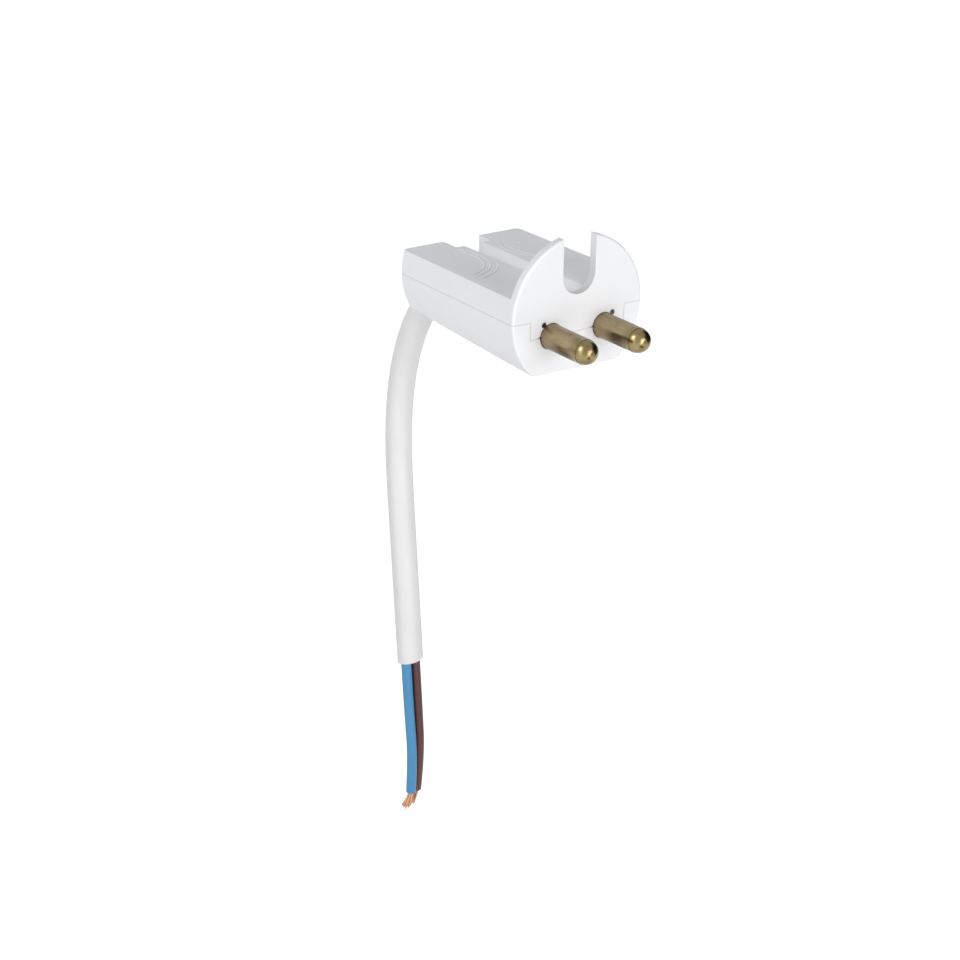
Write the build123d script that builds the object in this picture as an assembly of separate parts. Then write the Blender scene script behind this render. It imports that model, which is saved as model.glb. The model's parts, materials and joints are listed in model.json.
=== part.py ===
from build123d import *
import os
from math import acos, cos, degrees, pi, radians, sin, sqrt, tan

# Ceiling lamp plug with a hook slot, two round pins and a short two-core cord.
# Millimetres. The origin is midway between the pins on the front face. The pins point to -Y,
# the housing runs back along +Y, and the slot for the ceiling hook opens towards +Z.

# Housing outline: a round taper with a slanting flat bottom
BODY_L = 37.7
FACE_R = 14.7
REAR_R = 14.2
CENTRE_Z = 3.65
BOTTOM_FRONT_Z = -7.4
BOTTOM_REAR_Z = -4.3
WING_Z = 7.95
FLANGE_T = 1.7

# Edges of the housing
BOTTOM_EDGE_R = 2.0
REAR_EDGE_R = 0.9
FLANGE_EDGE_R = 0.45
COVER_EDGE_R = 0.5

# Slot for the ceiling hook, the groove behind it along the top, and the rear recess
SLOT_R = 3.64
SLOT_CENTRE_Z = 10.71
GROOVE_R = 1.95
GROOVE_EDGE_R = 0.45
RECESS_HALF_W = 4.2
RECESS_L = 4.5
RECESS_DEPTH = 3.3
RECESS_CORNER_R = 0.8

# Parting face between the shell and the cover: low between the steps, high outside them
PARTING_SIDE_Z = 3.37
PARTING_STEP_X = 10.7
PARTING_GAP = 0.04

# Walls
SIDE_WALL = 1.8
FLOOR_WALL = 1.5
ROOF_WALL = 1.6
GROOVE_WALL = 1.5
FRONT_WALL = 2.4
REAR_WALL = 6.1

# Pins
PIN_SPACING = 12.0
PIN_R = 2.4
PIN_STRAIGHT_L = 10.3
PIN_DOME_R = 2.33
PIN_NUB_R = 0.75
PIN_NUB_TIP_R = 0.26
PIN_NUB_L = 0.7
PIN_NECK_R = 2.3
COLLAR_R = 3.3
COLLAR_T = 1.2
BARREL_R = 2.8
BARREL_L = 8.9
SEAT_CLEAR = 0.1
WIRE_HOLE_R = 1.25
WIRE_HOLE_L = 6.0
PIN_RIB_T = 1.2

# Small notches beside the pins, and wedge gaps at the parting face
NOTCH_R = 0.55
NOTCH_OUT = 2.9
NOTCH_DEPTH = 0.9
LEFT_NOTCH_TURN = 125.0
RIGHT_NOTCH_TURN = 48.0
WEDGE_OUT = 3.4
WEDGE_H = 0.35

# Screws
SCREW_R = 1.2
SCREW_HOLE_CLEAR = 0.05
TERMINAL_HEAD_R = 1.9
TERMINAL_HEAD_H = 1.4
TERMINAL_HEAD_GAP = 0.2
TERMINAL_SCREW_BACK = 3.6
COVER_SCREW_Y = 14.2
COVER_HEAD_R = 2.5
COVER_HEAD_H = 1.6
COVER_HEAD_CLEAR = 0.25
COVER_HEAD_SEAT_Z = -4.2
COVER_SCREW_L = 7.8
COVER_POST_R = 2.3
COVER_BOSS_R = 3.5
COVER_BOSS_TOP_Z = -3.1
DRIVE_SLOT_W = 0.6
DRIVE_SLOT_DEPTH = 0.6

# Cord clamp
CLAMP_Y = 25.2
CLAMP_W = 4.0
CLAMP_TOP_Z = -0.9
CLAMP_T = 1.6
CLAMP_POST_R = 2.1
CLAMP_CORD_GAP = 1.4
CLAMP_POST_GAP = 0.25
CLAMP_HEAD_H = 1.1
CLAMP_SCREW_L = 6.2
SADDLE_T = 2.4
CORD_CLEAR = 0.05
SHEATH_TAIL = 1.2

# Outlet for the cord in the rear wall, along the cord's own line there
OUTLET_CLEAR = 0.25
OUTLET_IN_Z = 1.26
OUTLET_OUT_Z = -0.49

# Cord: the sheath's route in the plane x = 0, as points (y, z)
CORD_D = 5.6
CORE_D = 2.2
CORE_X = 1.13
WIRE_D = 1.1
ARC_SHARE = 0.45
SHEATH_START_Y = CLAMP_Y - CLAMP_W / 2 - SHEATH_TAIL
SHEATH_ROUTE = [
    (SHEATH_START_Y, 1.6),
    (31.5, 1.6),
    (41.0, -1.6),
    (49.3, -7.8),
    (55.0, -16.6),
    (58.6, -27.4),
    (59.9, -41.5),
    (57.7, -62.0),
    (54.4, -91.4),
]
BLUE_ROUTE = [(51.7, -112.5), (52.3, -121.2)]
BROWN_ROUTE = [(52.3, -112.6), (53.6, -121.7)]
CORE_FIRST_RUN = 11.0
STRAND_L = 4.0

# Leads between the sheath and the terminals
LEAD_START_GAP = 0.9
LEAD_LAST_RUN = 2.8
LEAD_WIRE_Z = 0.65
LEAD_WIRE_L = 5.0
LEAD_END_GAP = 0.3

PIN_X = PIN_SPACING / 2
COLLAR_Y = FRONT_WALL + SEAT_CLEAR
BARREL_Y = COLLAR_Y + COLLAR_T
BARREL_END_Y = BARREL_Y + BARREL_L
TERMINAL_SCREW_Y = BARREL_END_Y - TERMINAL_SCREW_BACK
PIN_RIB_Y = BARREL_Y + SEAT_CLEAR
REAR_RIB_Y = BARREL_END_Y - PIN_RIB_T
CAVITY_END_Y = BODY_L - REAR_WALL
RECESS_FLOOR_Z = WING_Z - RECESS_DEPTH
GROOVE_Z = WING_Z - GROOVE_R
CLAMP_BOTTOM_Z = CLAMP_TOP_Z - CLAMP_T
CLAMP_POST_X = CORD_D / 2 + CLAMP_CORD_GAP + CLAMP_POST_R
CLAMP_HALF_L = CLAMP_POST_X + CLAMP_POST_R
CORD_Z = SHEATH_ROUTE[0][1]
REACH = 60.0
SKIN = 1.0


def along(front, rear, y):
    """Value at depth y of a size that changes evenly from the face to the rear end."""
    return front + (rear - front) * y / BODY_L


def bottom_z(y):
    """Height of the housing's flat bottom at depth y."""
    return along(BOTTOM_FRONT_Z, BOTTOM_REAR_Z, y)


def round_form(start_y, end_y, inset):
    """Round taper of the housing between two depths, drawn in by an inset."""
    front = along(FACE_R, REAR_R, start_y) - inset
    rear = along(FACE_R, REAR_R, end_y) - inset
    taper = Cone(front, rear, end_y - start_y, align=(Align.CENTER, Align.CENTER, Align.MIN))
    return Plane(origin=(0, start_y, CENTRE_Z), z_dir=(0, 1, 0)) * taper


def above_bottom(inset):
    """Everything above the slanting bottom, raised by an inset."""
    outline = Polyline(
        (-REACH, bottom_z(-REACH) + inset),
        (REACH, bottom_z(REACH) + inset),
        (REACH, REACH),
        (-REACH, REACH),
        close=True,
    )
    return extrude(Plane.YZ * make_face(outline), amount=REACH, both=True)


def block(x, y, z):
    """Box between three (low, high) pairs."""
    size = [high - low for low, high in (x, y, z)]
    centre = [(high + low) / 2 for low, high in (x, y, z)]
    return Pos(*centre) * Box(*size)


def rod(radius, start, end):
    """Cylinder between two points."""
    axis = Vector(*end) - Vector(*start)
    base = Plane(origin=start, z_dir=axis)
    return extrude(base * Circle(radius), amount=axis.length)


def corner_radii(points):
    """Radius at each inner point: a set share of the shorter run, for the turn made there."""
    corners = [Vector(*point) for point in points]
    runs = [after - before for before, after in zip(corners, corners[1:])]
    radii = []
    for incoming, outgoing in zip(runs, runs[1:]):
        half_turn = radians(incoming.get_angle(outgoing)) / 2
        radii.append(ARC_SHARE * min(incoming.length, outgoing.length) / tan(half_turn))
    return radii


def tube(points, diameter):
    """Round solid along straight runs joined by tangent arcs."""
    path = FilletPolyline(*points, radius=corner_radii(points))
    start = Plane(origin=points[0], z_dir=Vector(*points[1]) - Vector(*points[0]))
    solid = sweep(start * Circle(diameter / 2), path=path)
    return solid, path


def beyond(before, last, distance):
    """Point on the line from before to last, further on by a distance."""
    step = (Vector(*last) - Vector(*before)).normalized() * distance
    return tuple(Vector(*last) + step)


def parting(gap):
    """Everything under the parting face, raised and drawn in by a gap."""
    step = PARTING_STEP_X - gap
    outline = Polyline(
        (-REACH, -REACH),
        (REACH, -REACH),
        (REACH, PARTING_SIDE_Z + gap),
        (step, PARTING_SIDE_Z + gap),
        (step, gap),
        (-step, gap),
        (-step, PARTING_SIDE_Z + gap),
        (-REACH, PARTING_SIDE_Z + gap),
        close=True,
    )
    face = Plane.XZ * make_face(outline)
    return extrude(face, amount=REACH, both=True)


def at_depth(edges, y):
    """Edges that lie in the plane at depth y."""
    return [
        edge
        for edge in edges
        if abs(edge.bounding_box().min.Y - y) < 0.001
        and abs(edge.bounding_box().max.Y - y) < 0.001
    ]


def housing_outside(face_edge_r, rear_edge_r):
    """Whole outside form, still with a full round top."""
    form = round_form(0, BODY_L, 0) & above_bottom(0)
    long_edges = [
        edge
        for edge in form.edges()
        if edge.bounding_box().size.Y > BODY_L / 2 and edge.center().Z < 0
    ]
    form = fillet(long_edges, BOTTOM_EDGE_R)
    form = fillet(at_depth(form.edges(), 0), face_edge_r)
    return fillet(at_depth(form.edges(), BODY_L), rear_edge_r)


def cavity():
    """Space inside both shells, before ribs and posts."""
    space = round_form(FRONT_WALL, CAVITY_END_Y, SIDE_WALL) & above_bottom(FLOOR_WALL)
    roof = block((-REACH, REACH), (-REACH, REACH), (WING_Z - ROOF_WALL, REACH))
    groove_roof = block(
        (-GROOVE_R - ROOF_WALL, GROOVE_R + ROOF_WALL),
        (-REACH, REACH),
        (GROOVE_Z - GROOVE_WALL, REACH),
    )
    return space - roof - groove_roof


def pin_ribs():
    """Cross ribs that hold the pins' barrels, in either shell."""
    front = block((-REACH, REACH), (PIN_RIB_Y, PIN_RIB_Y + PIN_RIB_T), (-REACH, REACH))
    rear = block((-REACH, REACH), (REAR_RIB_Y, BARREL_END_Y), (-REACH, REACH))
    return front + rear


def pin_seats():
    """Clearance round both pins, taken out of either shell."""
    seats = Part()
    for x in (-PIN_X, PIN_X):
        seats += rod(PIN_R + SEAT_CLEAR, (x, -SKIN, 0), (x, COLLAR_Y, 0))
        seats += rod(
            COLLAR_R + SEAT_CLEAR,
            (x, FRONT_WALL, 0),
            (x, PIN_RIB_Y, 0),
        )
        seats += rod(BARREL_R + SEAT_CLEAR, (x, FRONT_WALL, 0), (x, BARREL_END_Y + SEAT_CLEAR, 0))
    return seats


def cord_bore():
    """Clearance round the sheath: close in the saddle, and along its bend in the rear wall."""
    saddle = rod(
        CORD_D / 2 + CORD_CLEAR,
        (0, SHEATH_ROUTE[0][0], CORD_Z),
        (0, CAVITY_END_Y - SKIN, CORD_Z),
    )
    inner = (0, CAVITY_END_Y, OUTLET_IN_Z)
    outer = (0, BODY_L, OUTLET_OUT_Z)
    outlet = rod(
        CORD_D / 2 + OUTLET_CLEAR, beyond(outer, inner, SKIN), beyond(inner, outer, SKIN)
    )
    return saddle + outlet


def grooved_top():
    """Body behind the flange, with the groove and the recess in its flat top."""
    body = housing_outside(FLANGE_EDGE_R, REAR_EDGE_R)
    body &= block((-REACH, REACH), (FLANGE_T, REACH), (-REACH, WING_Z))
    body -= rod(GROOVE_R, (0, 0, WING_Z), (0, REACH, WING_Z))
    groove_edges = [
        edge
        for edge in body.edges()
        if edge.geom_type == GeomType.LINE
        and edge.bounding_box().size.Y > BODY_L / 2
        and abs(edge.center().Z - WING_Z) < 0.001
        and abs(abs(edge.center().X) - GROOVE_R) < 0.001
    ]
    body = fillet(groove_edges, GROOVE_EDGE_R)
    recess = block(
        (-RECESS_HALF_W, RECESS_HALF_W),
        (BODY_L - RECESS_L, REACH),
        (RECESS_FLOOR_Z, REACH),
    )
    corners = [
        edge
        for edge in recess.edges().filter_by(Axis.Z)
        if abs(edge.center().Y - BODY_L + RECESS_L) < 0.001
    ]
    return body - fillet(corners, RECESS_CORNER_R)


def flange():
    """Round front plate with the slot for the ceiling hook."""
    plate = housing_outside(FLANGE_EDGE_R, REAR_EDGE_R)
    plate &= block((-REACH, REACH), (-REACH, FLANGE_T), (-REACH, REACH))
    plate -= rod(SLOT_R, (0, -SKIN, SLOT_CENTRE_Z), (0, REACH, SLOT_CENTRE_Z))
    return plate - block((-SLOT_R, SLOT_R), (-REACH, REACH), (SLOT_CENTRE_Z, REACH))


def seat_marks():
    """Notch and wedge gap beside each pin, cut into the upper shell's face."""
    marks = Part()
    for x, turn in ((-PIN_X, LEFT_NOTCH_TURN), (PIN_X, RIGHT_NOTCH_TURN)):
        notch_x = x + NOTCH_OUT * cos(radians(turn))
        notch_z = NOTCH_OUT * sin(radians(turn))
        marks += rod(NOTCH_R, (notch_x, -SKIN, notch_z), (notch_x, NOTCH_DEPTH, notch_z))
        inner_x = x - PIN_R
        wedge = Polyline((x - WEDGE_OUT, 0), (inner_x, 0), (inner_x, WEDGE_H), close=True)
        marks += extrude(Plane.XZ.offset(-NOTCH_DEPTH) * make_face(wedge), amount=REACH)
    return marks


def upper_shell():
    """Shell with the round flange, the hook slot, the grooved top and the rear recess."""
    shell = flange() + grooved_top() - parting(PARTING_GAP) - seat_marks()
    ribs = pin_ribs()
    ribs += block(
        (-REACH, REACH),
        (CLAMP_Y - SADDLE_T / 2, CLAMP_Y + SADDLE_T / 2),
        (CORD_Z, REACH),
    )
    ribs += rod(COVER_POST_R, (0, COVER_SCREW_Y, 0), (0, COVER_SCREW_Y, REACH))
    for x in (-CLAMP_POST_X, CLAMP_POST_X):
        foot = CLAMP_TOP_Z + CLAMP_POST_GAP
        ribs += rod(CLAMP_POST_R, (x, CLAMP_Y, foot), (x, CLAMP_Y, REACH))
    space = cavity() - ribs
    shell = shell - space - pin_seats() - cord_bore()
    pilot = SCREW_R + SCREW_HOLE_CLEAR
    top = COVER_HEAD_SEAT_Z + COVER_SCREW_L + SKIN / 2
    shell -= rod(pilot, (0, COVER_SCREW_Y, -SKIN), (0, COVER_SCREW_Y, top))
    for x in (-CLAMP_POST_X, CLAMP_POST_X):
        top = CLAMP_BOTTOM_Z + CLAMP_SCREW_L + SKIN / 2
        shell -= rod(pilot, (x, CLAMP_Y, CLAMP_TOP_Z), (x, CLAMP_Y, top))
    return shell


def lower_cover():
    """Cover that closes the housing from below, with its boss for the screw."""
    cover = housing_outside(COVER_EDGE_R, REAR_EDGE_R) & parting(0)
    ribs = pin_ribs()
    ribs += rod(COVER_BOSS_R, (0, COVER_SCREW_Y, -REACH), (0, COVER_SCREW_Y, COVER_BOSS_TOP_Z))
    ribs += rod(COVER_POST_R, (0, COVER_SCREW_Y, -REACH), (0, COVER_SCREW_Y, SKIN))
    cover = cover - (cavity() - ribs) - pin_seats() - cord_bore()
    axis = (0, COVER_SCREW_Y)
    cover -= rod(SCREW_R + SCREW_HOLE_CLEAR, (*axis, -REACH), (*axis, SKIN))
    cover -= rod(COVER_HEAD_R + COVER_HEAD_CLEAR, (*axis, -REACH), (*axis, COVER_HEAD_SEAT_Z))
    return cover


def pin(x):
    """Turned pin with its collar and its barrel for the wire."""
    dome_y = -PIN_STRAIGHT_L
    nub_y = dome_y - sqrt(PIN_DOME_R**2 - PIN_NUB_R**2)
    tip_y = nub_y - PIN_NUB_L
    dome = CenterArc((0, dome_y), PIN_DOME_R, 0, -degrees(acos(PIN_NUB_R / PIN_DOME_R)))
    profile = [
        Line((0, tip_y), (PIN_NUB_TIP_R, tip_y)),
        Line((PIN_NUB_TIP_R, tip_y), (PIN_NUB_R, nub_y)),
        dome,
        Line((PIN_DOME_R, dome_y), (PIN_R, dome_y)),
        Line((PIN_R, dome_y), (PIN_R, 0)),
        Line((PIN_R, 0), (PIN_NECK_R, 0)),
        Line((PIN_NECK_R, 0), (PIN_NECK_R, COLLAR_Y)),
        Line((PIN_NECK_R, COLLAR_Y), (COLLAR_R, COLLAR_Y)),
        Line((COLLAR_R, COLLAR_Y), (COLLAR_R, BARREL_Y)),
        Line((COLLAR_R, BARREL_Y), (BARREL_R, BARREL_Y)),
        Line((BARREL_R, BARREL_Y), (BARREL_R, BARREL_END_Y)),
        Line((BARREL_R, BARREL_END_Y), (0, BARREL_END_Y)),
        Line((0, BARREL_END_Y), (0, tip_y)),
    ]
    solid = revolve(Face(Wire(profile)), Axis.Y)
    hole_start = BARREL_END_Y - WIRE_HOLE_L
    solid -= rod(WIRE_HOLE_R, (0, hole_start, 0), (0, BARREL_END_Y + SKIN, 0))
    screw_hole = SCREW_R + SCREW_HOLE_CLEAR
    solid -= rod(screw_hole, (0, TERMINAL_SCREW_Y, -REACH), (0, TERMINAL_SCREW_Y, 0))
    return Pos(x, 0, 0) * solid


def screw(x, y, seat_z, head_r, head_h, shank_l):
    """Slotted screw driven upwards, with its head under seat_z."""
    head = rod(head_r, (x, y, seat_z - head_h), (x, y, seat_z))
    shank = rod(SCREW_R, (x, y, seat_z - head_h), (x, y, seat_z + shank_l))
    drive = block(
        (x - head_r - SKIN, x + head_r + SKIN),
        (y - DRIVE_SLOT_W / 2, y + DRIVE_SLOT_W / 2),
        (seat_z - head_h - SKIN, seat_z - head_h + DRIVE_SLOT_DEPTH),
    )
    return head + shank - drive


def cord_clamp():
    """Bar that presses the sheath up against its saddle."""
    bar = block(
        (-CLAMP_HALF_L, CLAMP_HALF_L),
        (CLAMP_Y - CLAMP_W / 2, CLAMP_Y + CLAMP_W / 2),
        (CLAMP_BOTTOM_Z, CLAMP_TOP_Z),
    )
    bar -= rod(CORD_D / 2 + CORD_CLEAR, (0, 0, CORD_Z), (0, REACH, CORD_Z))
    for x in (-CLAMP_POST_X, CLAMP_POST_X):
        bar -= rod(SCREW_R + SCREW_HOLE_CLEAR, (x, CLAMP_Y, -REACH), (x, CLAMP_Y, REACH))
    return bar


def lead_route(side):
    """Points of one core from the sheath's inner end to its terminal."""
    end_y = BARREL_END_Y + LEAD_END_GAP
    return [
        (side * CORE_X, SHEATH_ROUTE[0][0] - LEAD_START_GAP, CORD_Z),
        (side * PIN_X, end_y + LEAD_LAST_RUN, LEAD_WIRE_Z),
        (side * PIN_X, end_y, LEAD_WIRE_Z),
    ]


def core_route(side, outer_points):
    """Points of one core below the sheath, starting straight on from it."""
    before = (side * CORE_X, *SHEATH_ROUTE[-2])
    end = (side * CORE_X, *SHEATH_ROUTE[-1])
    rest = [(side * CORE_X, y, z) for y, z in outer_points]
    return [end, beyond(before, end, CORE_FIRST_RUN), *rest]


def strands(core):
    """Bundle of bare strands, straight on from the core's end."""
    return rod(WIRE_D / 2, core[-1], beyond(core[-2], core[-1], STRAND_L))


def cord_pieces():
    """Sheath, leads, cores and bare strands, with each bent tube checked against its length."""
    blue = core_route(-1, BLUE_ROUTE)
    brown = core_route(1, BROWN_ROUTE)
    routes = {
        "cord_sheath": ([(0, y, z) for y, z in SHEATH_ROUTE], CORD_D),
        "blue_lead": (lead_route(-1), CORE_D),
        "brown_lead": (lead_route(1), CORE_D),
        "blue_core": (blue, CORE_D),
        "brown_core": (brown, CORE_D),
    }
    solids = {"blue_strands": strands(blue), "brown_strands": strands(brown)}
    for name, (points, diameter) in routes.items():
        solid, path = tube(points, diameter)
        straight = pi * diameter**2 / 4 * path.length
        radii = ", ".join(f"{radius:.1f}" for radius in corner_radii(points))
        print(f"{name}: radii {radii}; length {path.length:.1f}; ", end="")
        print(f"volume {solid.volume:.1f} against {straight:.1f}")
        solids[name] = solid
    return solids


def lead_wire(side):
    """Bare end of one core inside its terminal."""
    x = side * PIN_X
    start = BARREL_END_Y + LEAD_END_GAP
    return rod(WIRE_D / 2, (x, start - LEAD_WIRE_L, LEAD_WIRE_Z), (x, start, LEAD_WIRE_Z))


def terminal_screw(x):
    """Screw that presses the wire in a pin's barrel."""
    seat_z = -BARREL_R - TERMINAL_HEAD_GAP
    tip_z = LEAD_WIRE_Z - WIRE_D / 2 - SCREW_HOLE_CLEAR
    length = tip_z - seat_z
    return screw(x, TERMINAL_SCREW_Y, seat_z, TERMINAL_HEAD_R, TERMINAL_HEAD_H, length)


def clamp_screw(x):
    """Screw that draws the clamp towards its post."""
    return screw(x, CLAMP_Y, CLAMP_BOTTOM_Z, TERMINAL_HEAD_R, CLAMP_HEAD_H, CLAMP_SCREW_L)


def main():
    """Build every piece and write it to its own file."""
    pieces = {
        "upper_shell": upper_shell(),
        "lower_cover": lower_cover(),
        "pin_left": pin(-PIN_X),
        "pin_right": pin(PIN_X),
        "terminal_screw_left": terminal_screw(-PIN_X),
        "terminal_screw_right": terminal_screw(PIN_X),
        "cover_screw": screw(
            0, COVER_SCREW_Y, COVER_HEAD_SEAT_Z, COVER_HEAD_R, COVER_HEAD_H, COVER_SCREW_L
        ),
        "cord_clamp": cord_clamp(),
        "clamp_screw_left": clamp_screw(-CLAMP_POST_X),
        "clamp_screw_right": clamp_screw(CLAMP_POST_X),
        "blue_lead_wire": lead_wire(-1),
        "brown_lead_wire": lead_wire(1),
    }
    pieces.update(cord_pieces())
    os.makedirs("parts", exist_ok=True)
    for name, solid in pieces.items():
        export_step(solid, f"parts/{name}.step")
        print(f"{name}: {solid.volume:.1f} mm3, {len(solid.solids())} solid(s)")


main()
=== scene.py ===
import json
import math
import random

import bpy
from mathutils import Matrix, Vector


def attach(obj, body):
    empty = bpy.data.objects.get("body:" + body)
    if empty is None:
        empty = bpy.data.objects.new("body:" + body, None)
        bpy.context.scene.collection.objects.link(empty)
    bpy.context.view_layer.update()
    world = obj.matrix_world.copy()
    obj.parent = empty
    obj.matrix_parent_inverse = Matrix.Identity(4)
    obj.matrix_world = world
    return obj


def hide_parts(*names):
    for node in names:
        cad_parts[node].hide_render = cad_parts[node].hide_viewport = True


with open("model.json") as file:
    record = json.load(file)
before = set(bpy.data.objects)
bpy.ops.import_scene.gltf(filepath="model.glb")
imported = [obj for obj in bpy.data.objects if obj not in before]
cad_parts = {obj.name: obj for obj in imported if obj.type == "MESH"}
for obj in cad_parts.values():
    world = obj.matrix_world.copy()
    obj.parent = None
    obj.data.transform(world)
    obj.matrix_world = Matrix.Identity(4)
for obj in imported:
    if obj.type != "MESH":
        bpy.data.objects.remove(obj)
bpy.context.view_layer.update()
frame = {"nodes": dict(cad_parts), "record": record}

# Places and sizes below are in millimetres. This is one of them in metres
MM = 0.001

# Camera, from the fit to the photograph, with its angles in degrees
CAMERA_PLACE = (-255.8, -329.8, 142.0)
CAMERA_YAW = 35.413
CAMERA_PITCH = 22.409
CAMERA_ROLL = 1.036
CAMERA_LENS = 90.0
SENSOR_WIDTH = 36.0
CLIP_NEAR = 10.0
CLIP_FAR = 20000.0

# Stage: the floor's height, half width, grey and glow, and the surround's light and tint
FLOOR_Z = -165.0
FLOOR_HALF_W = 4000.0
FLOOR_SHADE = 0.8
FLOOR_GLOW = 0.86
WORLD_LIGHT = 0.21
WORLD_TINT = (0.93, 0.96, 1.0, 1.0)

# Soft square lights: name, place, aim, size and power
LIGHTS = [
    ("front_light", (60, -650, 90), (0, 15, 0), 420, 2.46),
    ("low_front_light", (-60, -640, -120), (0, 15, 0), 420, 1.0),
    ("left_light", (-640, -40, 60), (0, 15, -10), 420, 0.6),
    ("upper_left_light", (-480, 60, 360), (0, 20, 0), 300, 1.57),
]

# Black cards that only reflections see: name, corner and two edges
CARDS = [
    ("right_card", (170, -260, -40), (0, 330, 0), (0, 0, 220)),
    ("under_card", (-60, -330, -150), (220, 0, 0), (0, 190, 0)),
]
CARD_SHADE = 0.01

# Faint moulding arcs and ejector marks on the flat top: radius and two angles in degrees, and
# width and height
TOP_Z = 7.95
RING_CENTRE = (14.0, 26.5)
RINGS = [
    (9.5, 152.0, 262.0),
    (10.7, 142.0, 262.0),
    (12.1, 204.0, 262.0),
]
RIDGE_SIZE = (0.5, 0.11)
EJECTOR_CENTRE = (7.3, 28.8)
EJECTOR_RING = (1.1, 20.0, 160.0)
EJECTOR_SIZE = (0.6, 0.13)
ARC_STEPS = 40

# Half of a ridge's section from its sunk foot to its crest, as shares of half width and height
RIDGE_FLANK = [(-1.4, -0.6), (-1.0, 0.0), (-0.7, 0.4), (-0.35, 0.85)]
RIDGE_END_STEPS = 4
RIDGE_END_SINK = 0.2

# Small notches beside the pins, with grey shade painted inside them: axis, radius with a soft
# rim, and depth
NOTCHES = [(-7.66, 0.0, 2.38), (7.94, 0.0, 2.16)]
NOTCH_R = 0.6
NOTCH_RIM_R = 0.72
NOTCH_MIDDLE_Y = 0.65
NOTCH_REACH = 0.6
NOTCH_SHADE_COLOUR = (168, 171, 166)

# White plastic: tints as stops of a noise's value and an 8-bit colour, and soft edges
PLASTIC_TINTS = [(0.3, (241, 242, 244)), (0.7, (245, 245, 246))]
PLASTIC_IOR = 1.5
EDGE_R = 0.2
EDGE_SAMPLES = 6

# Brass of the pins: tints where it is dull and at the shiny tip, and the colours of its
# scratch wear and of its dark streaks
BRASS_DULL = [(0.32, (137, 117, 91)), (0.52, (158, 141, 111)), (0.72, (144, 131, 96))]
BRASS_SHINY = [(0.3, (114, 98, 68)), (0.7, (150, 134, 96))]
BRASS_SCRATCH = (206, 192, 158)
BRASS_STREAK = (78, 64, 44)

# Wear and dark streaks of the pins: where tip and streaks grow along Y, how strongly the
# streaks keep to the lower side, and masks as start, end and strength
TIP_SPAN = (-6.2, -8.6)
TIP_WANDER = 3.0
STREAK_SPAN = (-2.8, -5.8)
STREAK_LOW_BIAS = -190.0
STREAK_MASK = (0.41, 0.53, 1.0)
SCRATCH_MASK = (0.62, 0.74, 0.5)

# Tints of the other materials, and the vinyl's lowest and highest roughness
COPPER_TINTS = [(0.3, (176, 122, 96)), (0.55, (204, 158, 128)), (0.75, (196, 164, 126))]
ZINC_TINTS = [(0.3, (170, 172, 176)), (0.7, (196, 198, 200))]
SHEATH_TINTS = [(0.3, (228, 228, 226)), (0.7, (234, 234, 232))]
BLUE_TINTS = [(0.3, (62, 132, 181)), (0.7, (75, 144, 191))]
BROWN_TINTS = [(0.3, (68, 31, 29)), (0.7, (82, 41, 38))]
SHEATH_ROUGHNESS = (0.37, 0.49)
CORE_ROUGHNESS = (0.33, 0.45)

# Cord: shapes of the tubes and their ends, and the same points as the part's own route
SHEATH_D = 5.6
SHEATH_LIP = 0.35
SHEATH_SIDES = 48
SHEATH_TRIM = 1.1
SHEATH_SLANT = 0.16
SLANT_DIRECTION = (-0.815, 0.58, 0.0)
CORE_D = 2.2
CORE_X = 1.13
CORE_LIP = 0.12
CORE_SIDES = 32
LIP_STEPS = 5
LIP_CLEARANCE = 1.5
ROUTE_ORDER = 3
ROUTE_STEPS = 16
SHEATH_ROUTE = [
    (22.0, 1.6),
    (31.5, 1.6),
    (41.0, -1.6),
    (49.3, -7.8),
    (55.0, -16.6),
    (58.6, -27.4),
    (59.9, -41.5),
    (57.7, -62.0),
    (54.4, -91.4),
]
BLUE_ROUTE = [(51.7, -112.5), (52.3, -121.2)]
BROWN_ROUTE = [(52.3, -112.6), (53.6, -121.7)]
CORE_FIRST_RUN = 11.0

# Copper strands at the cores' ends: each runs from a root inside the core to its own tip, and
# the turn from one strand to the next is in radians
STRAND_COUNT = 24
STRAND_D = 0.24
STRAND_SIDES = 8
STRAND_STEPS = 8
STRAND_TURN = 2.4
STRAND_BUNDLE_R = 0.48
STRAND_ROOT = 0.6
STRAND_NECK = 1.5
STRAND_REACH = 1.9
STRAND_FAN = (-0.9, 0.8, -2.0)
STRAND_STRAY = 0.12
STRAND_NECK_SPREAD = 1.05
STRAND_TIP_SPREAD = (1.7, 2.8)
STRAND_LENGTHS = (0.8, 1.05)
BLUE_SEED = 3
BROWN_SEED = 8

# Sockets of the mix node by its type: first value, second value and result
MIX_SOCKETS = {"RGBA": (6, 7, 2), "FLOAT": (2, 3, 0)}


def srgb(red, green, blue):
    """Linear colour of an 8-bit screen colour."""
    linear = []
    for value in (red, green, blue):
        share = value / 255
        linear.append(share / 12.92 if share <= 0.04045 else ((share + 0.055) / 1.055) ** 2.4)
    return (*linear, 1.0)


def grey(value):
    """Grey as a node colour."""
    return (value, value, value, 1.0)


class Nodes:
    """Short way to add and link shader nodes."""

    def __init__(self, tree):
        self.tree = tree
        self.tree.nodes.clear()

    def add(self, kind, **values):
        node = self.tree.nodes.new(kind)
        for name, value in values.items():
            setattr(node, name, value)
        return node

    def link(self, source, target):
        self.tree.links.new(source, target)


def new_material(name):
    """Empty node material with its output and Principled shader."""
    material = bpy.data.materials.new(name)
    material.use_nodes = True
    nodes = Nodes(material.node_tree)
    output = nodes.add("ShaderNodeOutputMaterial")
    shader = nodes.add("ShaderNodeBsdfPrincipled")
    nodes.link(shader.outputs["BSDF"], output.inputs["Surface"])
    return material, nodes, shader


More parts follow.
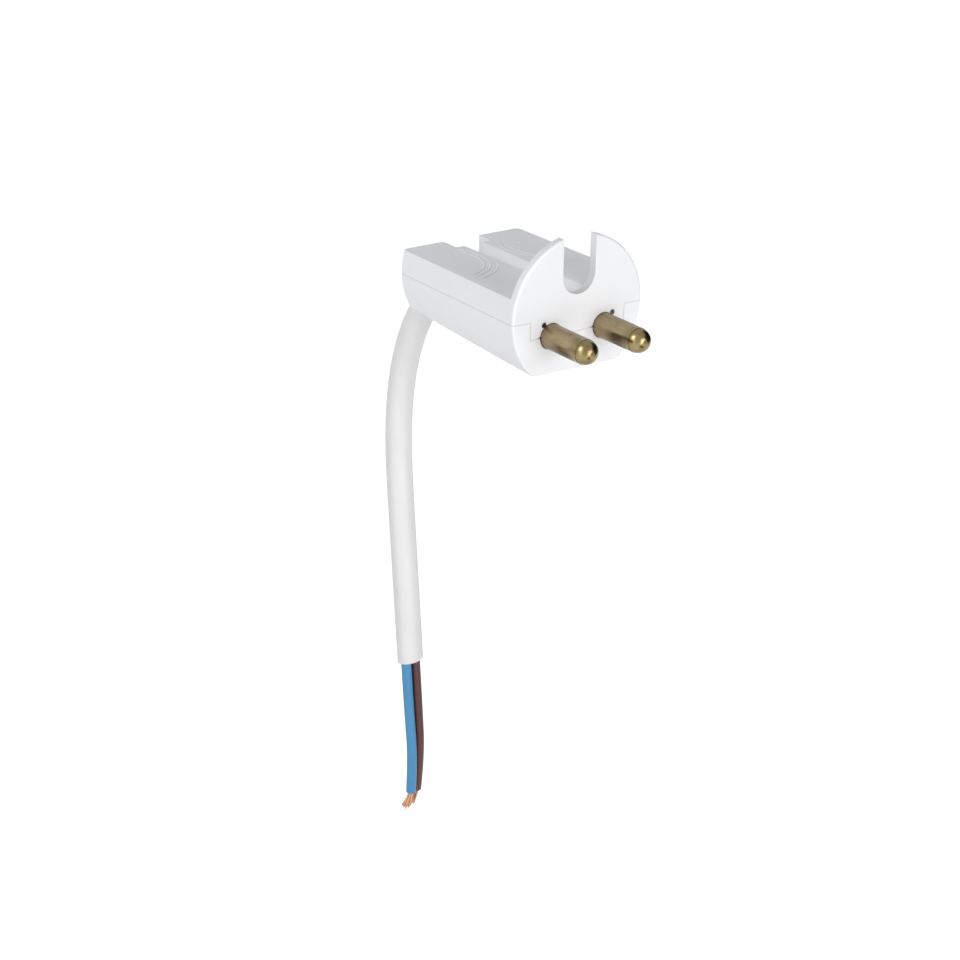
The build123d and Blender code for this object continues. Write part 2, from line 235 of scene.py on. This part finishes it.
def object_space(nodes, scale=(1.0, 1.0, 1.0)):
    """Object coordinates stretched by a scale per axis."""
    coordinates = nodes.add("ShaderNodeTexCoord")
    mapping = nodes.add("ShaderNodeMapping")
    mapping.inputs["Scale"].default_value = scale
    nodes.link(coordinates.outputs["Object"], mapping.inputs["Vector"])
    return mapping.outputs["Vector"]


def separate(nodes, vector):
    """The three parts of a vector, by name."""
    node = nodes.add("ShaderNodeSeparateXYZ")
    nodes.link(vector, node.inputs["Vector"])
    return node.outputs


def calculate(nodes, operation, *values):
    """Math node on numbers and sockets."""
    node = nodes.add("ShaderNodeMath", operation=operation)
    for target, value in zip(node.inputs, values):
        if isinstance(value, float):
            target.default_value = value
        else:
            nodes.link(value, target)
    return node.outputs[0]


def noise(nodes, vector, scale, detail=3.0, roughness=0.5):
    """Noise texture on a vector."""
    texture = nodes.add("ShaderNodeTexNoise")
    texture.inputs["Scale"].default_value = scale
    texture.inputs["Detail"].default_value = detail
    texture.inputs["Roughness"].default_value = roughness
    nodes.link(vector, texture.inputs["Vector"])
    return texture.outputs["Fac"]


def ramp(nodes, value, stops):
    """Colour ramp through (place, colour) stops."""
    node = nodes.add("ShaderNodeValToRGB")
    elements = node.color_ramp.elements
    elements[0].position, elements[0].color = stops[0]
    elements[1].position, elements[1].color = stops[-1]
    for place, colour in stops[1:-1]:
        element = elements.new(place)
        element.color = colour
    nodes.link(value, node.inputs["Fac"])
    return node.outputs["Color"]


def tinted(nodes, value, stops):
    """Colour ramp through stops with 8-bit screen colours."""
    return ramp(nodes, value, [(place, srgb(*colour)) for place, colour in stops])


def masked(nodes, value, start, end, full):
    """Mask that is 0 up to a start and has its full value from an end on."""
    return ramp(nodes, value, [(start, grey(0.0)), (end, grey(full))])


def spread(nodes, value, low, high, start=0.0, end=1.0):
    """Value between start and end moved to a range from low to high."""
    node = nodes.add("ShaderNodeMapRange")
    node.inputs["From Min"].default_value = start
    node.inputs["From Max"].default_value = end
    node.inputs["To Min"].default_value = low
    node.inputs["To Max"].default_value = high
    nodes.link(value, node.inputs["Value"])
    return node.outputs["Result"]


def along(nodes, value, span):
    """Mask that grows from 0 to 1 over a span in millimetres."""
    return spread(nodes, value, low=0.0, high=1.0, start=span[0] * MM, end=span[1] * MM)


def mixed(nodes, share, first, second, kind="RGBA"):
    """Mix of two colours or two numbers, each a socket or, for a colour, a value."""
    first_place, second_place, result = MIX_SOCKETS[kind]
    node = nodes.add("ShaderNodeMix", data_type=kind)
    nodes.link(share, node.inputs[0])
    for place, value in ((first_place, first), (second_place, second)):
        if isinstance(value, tuple):
            node.inputs[place].default_value = value
        else:
            nodes.link(value, node.inputs[place])
    return node.outputs[result]


def bump(nodes, height, distance, strength, under=None):
    """Bump from a height between 0 and 1, over a distance in millimetres."""
    node = nodes.add("ShaderNodeBump")
    node.inputs["Distance"].default_value = distance * MM
    node.inputs["Strength"].default_value = strength
    nodes.link(height, node.inputs["Height"])
    if under is not None:
        nodes.link(under, node.inputs["Normal"])
    return node.outputs["Normal"]


def notch_shade_mask(nodes):
    """Mask that is 1 inside the small notches beside the pins, where grey shade is painted."""
    across = object_space(nodes, (1.0, 0.0, 1.0))
    near = []
    for place in NOTCHES:
        gap = nodes.add("ShaderNodeVectorMath", operation="DISTANCE")
        nodes.link(across, gap.inputs[0])
        gap.inputs[1].default_value = Vector(place) * MM
        near.append(along(nodes, gap.outputs["Value"], (NOTCH_RIM_R, NOTCH_R)))
    either = calculate(nodes, "ADD", *near)
    depth = separate(nodes, object_space(nodes))["Y"]
    inside = calculate(nodes, "COMPARE", depth, NOTCH_MIDDLE_Y * MM, NOTCH_REACH * MM)
    return calculate(nodes, "MULTIPLY", either, inside)


def white_plastic(name, edge_r):
    """Smooth moulded white plastic with a faint flow pattern, a fine grain, soft edges and
    grey shade painted inside the notches beside the pins.
    """
    material, nodes, shader = new_material(name)
    flow = noise(nodes, object_space(nodes, (1.0, 0.5, 1.0)), scale=90.0, detail=2.0)
    grain = noise(nodes, object_space(nodes, (1.0, 0.5, 1.0)), scale=2600.0, detail=2.0)
    tint = tinted(nodes, flow, PLASTIC_TINTS)
    # Grey painted shade inside the notches beside the pins, standing in for the shade in those
    # recesses
    colour = mixed(nodes, notch_shade_mask(nodes), tint, srgb(*NOTCH_SHADE_COLOUR))
    nodes.link(colour, shader.inputs["Base Color"])
    nodes.link(spread(nodes, flow, low=0.27, high=0.36), shader.inputs["Roughness"])
    soft = None
    if edge_r > 0:
        rounded = nodes.add("ShaderNodeBevel", samples=EDGE_SAMPLES)
        rounded.inputs["Radius"].default_value = edge_r * MM
        soft = rounded.outputs["Normal"]
    fine = bump(nodes, grain, distance=0.004, strength=0.6, under=soft)
    nodes.link(fine, shader.inputs["Normal"])
    shader.inputs["IOR"].default_value = PLASTIC_IOR
    return material


def pin_brass():
    """Turned brass: tarnished and scratched along most of its length, with dark streaks that
    keep to its lower side, shiny at the tip.
    """
    material, nodes, shader = new_material("pin_brass")
    place = separate(nodes, object_space(nodes))
    stains = noise(
        nodes, object_space(nodes, (1.0, 0.4, 1.0)), scale=520.0, detail=4.0, roughness=0.6
    )
    scratches = noise(
        nodes, object_space(nodes, (1.0, 0.06, 1.0)), scale=3600.0, detail=4.0, roughness=0.65
    )
    bands = noise(nodes, object_space(nodes, (1.0, 0.08, 1.0)), scale=760.0, detail=2.0)

    wander = calculate(nodes, "MULTIPLY_ADD", stains, TIP_WANDER * MM, place["Y"])
    to_tip = along(nodes, wander, TIP_SPAN)
    # Dark streaks, darker towards the pins' lower side
    low = calculate(nodes, "MULTIPLY_ADD", place["Z"], STREAK_LOW_BIAS, bands)
    dark = masked(nodes, low, *STREAK_MASK)
    streaks = calculate(nodes, "MULTIPLY", dark, along(nodes, place["Y"], STREAK_SPAN))

    dull = tinted(nodes, stains, BRASS_DULL)
    scratched = mixed(
        nodes, masked(nodes, scratches, *SCRATCH_MASK), dull, srgb(*BRASS_SCRATCH)
    )
    streaked = mixed(nodes, streaks, scratched, srgb(*BRASS_STREAK))
    shiny = tinted(nodes, stains, BRASS_SHINY)
    nodes.link(mixed(nodes, to_tip, streaked, shiny), shader.inputs["Base Color"])

    worn_rough = spread(nodes, scratches, low=0.36, high=0.52)
    tip_rough = spread(nodes, scratches, low=0.2, high=0.32)
    rough = mixed(nodes, to_tip, worn_rough, tip_rough, kind="FLOAT")
    nodes.link(rough, shader.inputs["Roughness"])
    nodes.link(bump(nodes, scratches, distance=0.03, strength=0.35), shader.inputs["Normal"])
    shader.inputs["Metallic"].default_value = 1.0
    return material


def vinyl(name, tints, rough):
    """Soft vinyl with a slightly uneven drawn surface."""
    material, nodes, shader = new_material(name)
    drawn = noise(nodes, object_space(nodes, (1.0, 1.0, 0.25)), scale=260.0)
    grain = noise(nodes, object_space(nodes), scale=3500.0, detail=2.0)
    nodes.link(tinted(nodes, drawn, tints), shader.inputs["Base Color"])
    nodes.link(spread(nodes, drawn, low=rough[0], high=rough[1]), shader.inputs["Roughness"])
    wavy = bump(nodes, drawn, distance=0.06, strength=0.3)
    fine = bump(nodes, grain, distance=0.006, strength=0.5, under=wavy)
    nodes.link(fine, shader.inputs["Normal"])
    shader.inputs["IOR"].default_value = PLASTIC_IOR
    return material


def copper():
    """Bright drawn copper with slight differences along the strands."""
    material, nodes, shader = new_material("copper_strand")
    patches = noise(nodes, object_space(nodes, (1.0, 1.0, 0.4)), scale=900.0)
    nodes.link(tinted(nodes, patches, COPPER_TINTS), shader.inputs["Base Color"])
    nodes.link(spread(nodes, patches, low=0.2, high=0.34), shader.inputs["Roughness"])
    shader.inputs["Metallic"].default_value = 1.0
    return material


def zinc_steel():
    """Zinc-plated steel of the screws, with turning marks."""
    material, nodes, shader = new_material("zinc_steel")
    marks = noise(nodes, object_space(nodes, (1.0, 1.0, 0.1)), scale=3000.0)
    nodes.link(tinted(nodes, marks, ZINC_TINTS), shader.inputs["Base Color"])
    nodes.link(spread(nodes, marks, low=0.28, high=0.42), shader.inputs["Roughness"])
    nodes.link(bump(nodes, marks, distance=0.02, strength=0.3), shader.inputs["Normal"])
    shader.inputs["Metallic"].default_value = 1.0
    return material


def set_material(piece, material):
    """One material in all of an object's slots."""
    piece.data.materials.clear()
    piece.data.materials.append(material)


def beyond(before, last, distance):
    """Point on the line from before to last, further on by a distance."""
    return last + (last - before).normalized() * distance


def in_plane(x, points):
    """Route points in metres from (y, z) pairs in millimetres."""
    return [Vector((x, y, z)) * MM for y, z in points]


def core_points(side, outer):
    """Control points of one core, straight on from the end of the sheath."""
    before, end = in_plane(side * CORE_X, SHEATH_ROUTE[-2:])
    return [end, beyond(before, end, CORE_FIRST_RUN * MM), *in_plane(side * CORE_X, outer)]


def smooth_line(points, resolution):
    """Points along one smooth open line that has these control points."""
    curve = bpy.data.curves.new("route", "CURVE")
    curve.dimensions = "3D"
    curve.resolution_u = resolution
    spline = curve.splines.new("NURBS")
    spline.points.add(len(points) - 1)
    for slot, point in zip(spline.points, points):
        slot.co = (*point, 1.0)
    spline.order_u = ROUTE_ORDER
    spline.use_endpoint_u = True
    holder = bpy.data.objects.new("route", curve)
    mesh = bpy.data.meshes.new_from_object(holder)
    line = [vertex.co.copy() for vertex in mesh.vertices]
    bpy.data.meshes.remove(mesh)
    bpy.data.objects.remove(holder)
    bpy.data.curves.remove(curve)
    return line


def heading(line, index):
    """Direction of a line at one of its points."""
    before = line[max(index - 1, 0)]
    after = line[min(index + 1, len(line) - 1)]
    return (after - before).normalized()


def frames_along(line):
    """Tangent and two cross directions at each point, with no twist."""
    tangents = [heading(line, index) for index in range(len(line))]
    side = tangents[0].orthogonal().normalized()
    frames = []
    for tangent in tangents:
        side = (side - tangent * side.dot(tangent)).normalized()
        frames.append((tangent, side, tangent.cross(side)))
    return frames


def ring_points(centre, axes, radius, count):
    """Circle of points round a centre, across the first of its axes."""
    ring = []
    for step in range(count):
        angle = 2 * math.pi * step / count
        ring.append(centre + (axes[1] * math.cos(angle) + axes[2] * math.sin(angle)) * radius)
    return ring


class MeshBuilder:
    """Vertices and faces of one piece, gathered from rings."""

    def __init__(self):
        self.vertices = []
        self.faces = []

    def add_rings(self, rings):
        """Closed skin over rings of equal count, with its ends filled."""
        count = len(rings[0])
        start = len(self.vertices)
        for ring in rings:
            self.vertices.extend(ring)
        for row in range(len(rings) - 1):
            base = start + row * count
            for step in range(count):
                after = (step + 1) % count
                near = (base + step, base + after)
                self.faces.append((*near, near[1] + count, near[0] + count))
        last = start + (len(rings) - 1) * count
        self.faces.append(tuple(start + step for step in reversed(range(count))))
        self.faces.append(tuple(last + step for step in range(count)))

    def make(self, name, material):
        """Object with smooth faces that rides on the root body."""
        mesh = bpy.data.meshes.new(name)
        mesh.from_pydata([tuple(vertex) for vertex in self.vertices], [], self.faces)
        mesh.update()
        for face in mesh.polygons:
            face.use_smooth = len(face.vertices) == 4
        piece = bpy.data.objects.new(name, mesh)
        bpy.context.scene.collection.objects.link(piece)
        set_material(piece, material)
        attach(piece, "root")
        return piece


def rounded_end(line, radius, lip, slant, count):
    """Rings that round the end of a tube off, with a slanting cut."""
    axes = frames_along(line)[-1]
    left = Vector(SLANT_DIRECTION)
    rings = []
    for step in range(LIP_STEPS + 1):
        angle = math.pi / 2 * step / LIP_STEPS
        reach = (math.sin(angle) - 1) * lip
        inset = (1 - math.cos(angle)) * lip
        centre = line[-1] + axes[0] * reach
        ring = []
        for point in ring_points(centre, axes, radius - inset, count):
            ring.append(point + axes[0] * slant * (point - centre).dot(left))
        rings.append(ring)
    return rings


def swept_tube(name, line, diameter, lip, material, slant=0.0, count=CORE_SIDES):
    """Tube along a line, with its far end rounded over a small lip. Sizes in millimetres."""
    radius = diameter / 2 * MM
    end_run = lip * MM * LIP_CLEARANCE + slant * radius
    rings = []
    for point, axes in zip(line, frames_along(line)):
        if (line[-1] - point).length > end_run:
            rings.append(ring_points(point, axes, radius, count))
    rings += rounded_end(line, radius, lip * MM, slant, count)
    builder = MeshBuilder()
    builder.add_rings(rings)
    return builder.make(name, material)


def strand_bundle(name, core_line, seed, material):
    """Fine copper strands that leave a core's end and fan aside."""
    draw = random.Random(seed)
    tangent, side, other = frames_along(core_line)[-1]
    end = core_line[-1]
    fan = Vector(STRAND_FAN) * MM
    builder = MeshBuilder()
    for index in range(STRAND_COUNT):
        angle = index * STRAND_TURN
        out = math.sqrt((index + 0.5) / STRAND_COUNT) * STRAND_BUNDLE_R * MM
        offset = (side * math.cos(angle) + other * math.sin(angle)) * out
        tip_offset = offset * draw.uniform(*STRAND_TIP_SPREAD)
        length = draw.uniform(*STRAND_LENGTHS)
        root = end + offset - tangent * STRAND_ROOT * MM
        neck = end + offset * STRAND_NECK_SPREAD + tangent * STRAND_NECK * MM * length
        tip = end + tangent * STRAND_REACH * MM + fan * length + tip_offset
        stray = [draw.uniform(-STRAND_STRAY, STRAND_STRAY) for _ in range(2)]
        tip += Vector((*stray, 0)) * MM
        line = smooth_line([root, neck, tip], STRAND_STEPS)
        rings = []
        for point, axes in zip(line, frames_along(line)):
            rings.append(ring_points(point, axes, STRAND_D / 2 * MM, STRAND_SIDES))
        builder.add_rings(rings)
    return builder.make(name, material)


def make_camera():
    """Camera where the photograph was taken from."""
    yaw = math.radians(CAMERA_YAW)
    pitch = math.radians(CAMERA_PITCH)
    roll = math.radians(CAMERA_ROLL)
    ahead = Vector(
        (math.sin(yaw) * math.cos(pitch), math.cos(yaw) * math.cos(pitch), -math.sin(pitch))
    )
    level = Vector((math.cos(yaw), -math.sin(yaw), 0.0))
    above = level.cross(ahead)
    right = level * math.cos(roll) + above * math.sin(roll)
    up = above * math.cos(roll) - level * math.sin(roll)
    data = bpy.data.cameras.new("camera")
    data.lens = CAMERA_LENS
    data.sensor_width = SENSOR_WIDTH
    data.clip_start = CLIP_NEAR * MM
    data.clip_end = CLIP_FAR * MM
    camera = bpy.data.objects.new("camera", data)
    turn = Matrix((right, up, -ahead)).transposed().to_4x4()
    camera.matrix_world = Matrix.Translation(Vector(CAMERA_PLACE) * MM) @ turn
    bpy.context.scene.collection.objects.link(camera)
    bpy.context.scene.camera = camera


def make_cord(materials):
    """Sheath, both cores and their copper strands."""
    sheath_line = smooth_line(in_plane(0.0, SHEATH_ROUTE), ROUTE_STEPS)
    trim = SHEATH_TRIM * MM
    cut = [point for point in sheath_line if (sheath_line[-1] - point).length > trim]
    cut.append(beyond(cut[-2], sheath_line[-1], -trim))
    sheath = swept_tube(
        "sheath",
        cut,
        SHEATH_D,
        SHEATH_LIP,
        materials["white_sheath"],
        SHEATH_SLANT,
        SHEATH_SIDES,
    )
    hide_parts("cord_sheath")
    pieces = []
    for name, side, route, seed in (
        ("blue", -1, BLUE_ROUTE, BLUE_SEED),
        ("brown", 1, BROWN_ROUTE, BROWN_SEED),
    ):
        line = smooth_line(core_points(side, route), ROUTE_STEPS)
        line.insert(0, beyond(line[1], line[0], 2 * trim))
        slot = name + "_insulation"
        core = swept_tube(slot, line, CORE_D, CORE_LIP, materials[slot])
        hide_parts(name + "_core")
        strands = strand_bundle(name + "_copper", line, seed, materials["copper"])
        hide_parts(name + "_strands")
        pieces += [core, strands]


def ridge_along(builder, line, size):
    """Low rounded ridge on the flat top along a line, with its foot under the surface."""
    half_w = size[0] / 2 * MM
    full_h = size[1] * MM
    other_flank = [(-across, up) for across, up in reversed(RIDGE_FLANK)]
    profile = [*RIDGE_FLANK, (0.0, 1.0), *other_flank]
    rings = []
    for index, point in enumerate(line):
        ahead = heading(line, index)
        side = Vector((-ahead.y, ahead.x, 0.0))
        to_end = min(index, len(line) - 1 - index)
        grown = min(to_end / RIDGE_END_STEPS, 1.0) * (1 + RIDGE_END_SINK) - RIDGE_END_SINK
        ring = []
        for across, up in profile:
            rise = up * full_h * (grown if up > 0 else 1.0)
            ring.append(point + side * across * half_w + Vector((0.0, 0.0, rise)))
        rings.append(ring)
    builder.add_rings(rings)


def arc_on_top(side, centre, radius, first, last):
    """Points of an arc on the flat top, mirrored to one side."""
    line = []
    for step in range(ARC_STEPS + 1):
        turn = math.radians(first + (last - first) * step / ARC_STEPS)
        x = side * (centre[0] + radius * math.cos(turn))
        y = centre[1] + radius * math.sin(turn)
        line.append(Vector((x, y, TOP_Z)) * MM)
    return line


def make_relief(material):
    """Moulding marks on both halves of the flat top."""
    builder = MeshBuilder()
    for side in (-1, 1):
        for ring in RINGS:
            ridge_along(builder, arc_on_top(side, RING_CENTRE, *ring), RIDGE_SIZE)
        ridge_along(builder, arc_on_top(side, EJECTOR_CENTRE, *EJECTOR_RING), EJECTOR_SIZE)
    return builder.make("top_marks", material)


def dress_frame(materials):
    """Materials for the CAD nodes that stay, by their record slots."""
    for subpart in frame["record"]["subparts"]:
        set_material(frame["nodes"][subpart["node"]], materials[subpart["material_slot"]])


def seen_directly(nodes):
    """1 for camera, mirror and glass rays, and 0 for the rest."""
    path = nodes.add("ShaderNodeLightPath")
    rays = path.outputs
    seen = calculate(nodes, "MAXIMUM", rays["Is Camera Ray"], rays["Is Glossy Ray"])
    return calculate(nodes, "MAXIMUM", seen, rays["Is Transmission Ray"])


def matte_material(name, shade, glow):
    """Matt grey that also shines by a glow towards rays that see it directly."""
    material = bpy.data.materials.new(name)
    material.use_nodes = True
    nodes = Nodes(material.node_tree)
    output = nodes.add("ShaderNodeOutputMaterial")
    matte = nodes.add("ShaderNodeBsdfDiffuse")
    matte.inputs["Color"].default_value = grey(shade)
    surface = matte.outputs[0]
    if glow > 0:
        strength = calculate(nodes, "MULTIPLY", seen_directly(nodes), glow)
        shine = nodes.add("ShaderNodeEmission")
        nodes.link(strength, shine.inputs["Strength"])
        total = nodes.add("ShaderNodeAddShader")
        nodes.link(surface, total.inputs[0])
        nodes.link(shine.outputs[0], total.inputs[1])
        surface = total.outputs[0]
    nodes.link(surface, output.inputs["Surface"])
    return material


def flat_plane(name, corner, across, up, material):
    """Flat rectangle from a corner and two edges, in millimetres."""
    start, first, second = (Vector(values) * MM for values in (corner, across, up))
    corners = [start, start + first, start + first + second, start + second]
    mesh = bpy.data.meshes.new(name)
    mesh.from_pydata([tuple(point) for point in corners], [], [(0, 1, 2, 3)])
    plane = bpy.data.objects.new(name, mesh)
    bpy.context.scene.collection.objects.link(plane)
    set_material(plane, material)
    return plane


def make_stage():
    """Plain pale floor, and black cards that darken what metal reflects there."""
    corner = (-FLOOR_HALF_W, -FLOOR_HALF_W, FLOOR_Z)
    width = 2 * FLOOR_HALF_W
    pale = matte_material("floor", FLOOR_SHADE, FLOOR_GLOW)
    floor = flat_plane("floor", corner, (width, 0, 0), (0, width, 0), pale)
    black = matte_material("black_card", CARD_SHADE, 0.0)
    for values in CARDS:
        card = flat_plane(*values, black)
        card.visible_camera = False
        card.visible_diffuse = False
        card.visible_shadow = False


def make_world():
    """Soft even surround, white behind the object."""
    world = bpy.data.worlds.new("studio")
    bpy.context.scene.world = world
    world.use_nodes = True
    nodes = Nodes(world.node_tree)
    output = nodes.add("ShaderNodeOutputWorld")
    surround = nodes.add("ShaderNodeBackground")
    surround.inputs["Color"].default_value = WORLD_TINT
    strength = spread(nodes, seen_directly(nodes), low=WORLD_LIGHT, high=1.0)
    nodes.link(strength, surround.inputs["Strength"])
    nodes.link(surround.outputs[0], output.inputs["Surface"])


def area_light(name, place, target, size, power):
    """Square soft light aimed at a point, places in millimetres."""
    data = bpy.data.lights.new(name, "AREA")
    data.shape = "SQUARE"
    data.size = size * MM
    data.energy = power
    light = bpy.data.objects.new(name, data)
    where = Vector(place) * MM
    aim = Vector(target) * MM - where
    turn = aim.to_track_quat("-Z", "Y").to_matrix().to_4x4()
    light.matrix_world = Matrix.Translation(where) @ turn
    bpy.context.scene.collection.objects.link(light)


bpy.context.scene.view_settings.view_transform = "Standard"
make_camera()
MATERIALS = {
    "white_plastic": white_plastic("white_plastic", EDGE_R),
    "white_marks": white_plastic("white_marks", 0.0),
    "brass": pin_brass(),
    "zinc_steel": zinc_steel(),
    "copper": copper(),
    "white_sheath": vinyl("white_sheath", SHEATH_TINTS, SHEATH_ROUGHNESS),
    "blue_insulation": vinyl("blue_insulation", BLUE_TINTS, CORE_ROUGHNESS),
    "brown_insulation": vinyl("brown_insulation", BROWN_TINTS, CORE_ROUGHNESS),
}
make_cord(MATERIALS)
dress_frame(MATERIALS)
make_relief(MATERIALS["white_marks"])
make_stage()
make_world()
for LIGHT in LIGHTS:
    area_light(*LIGHT)
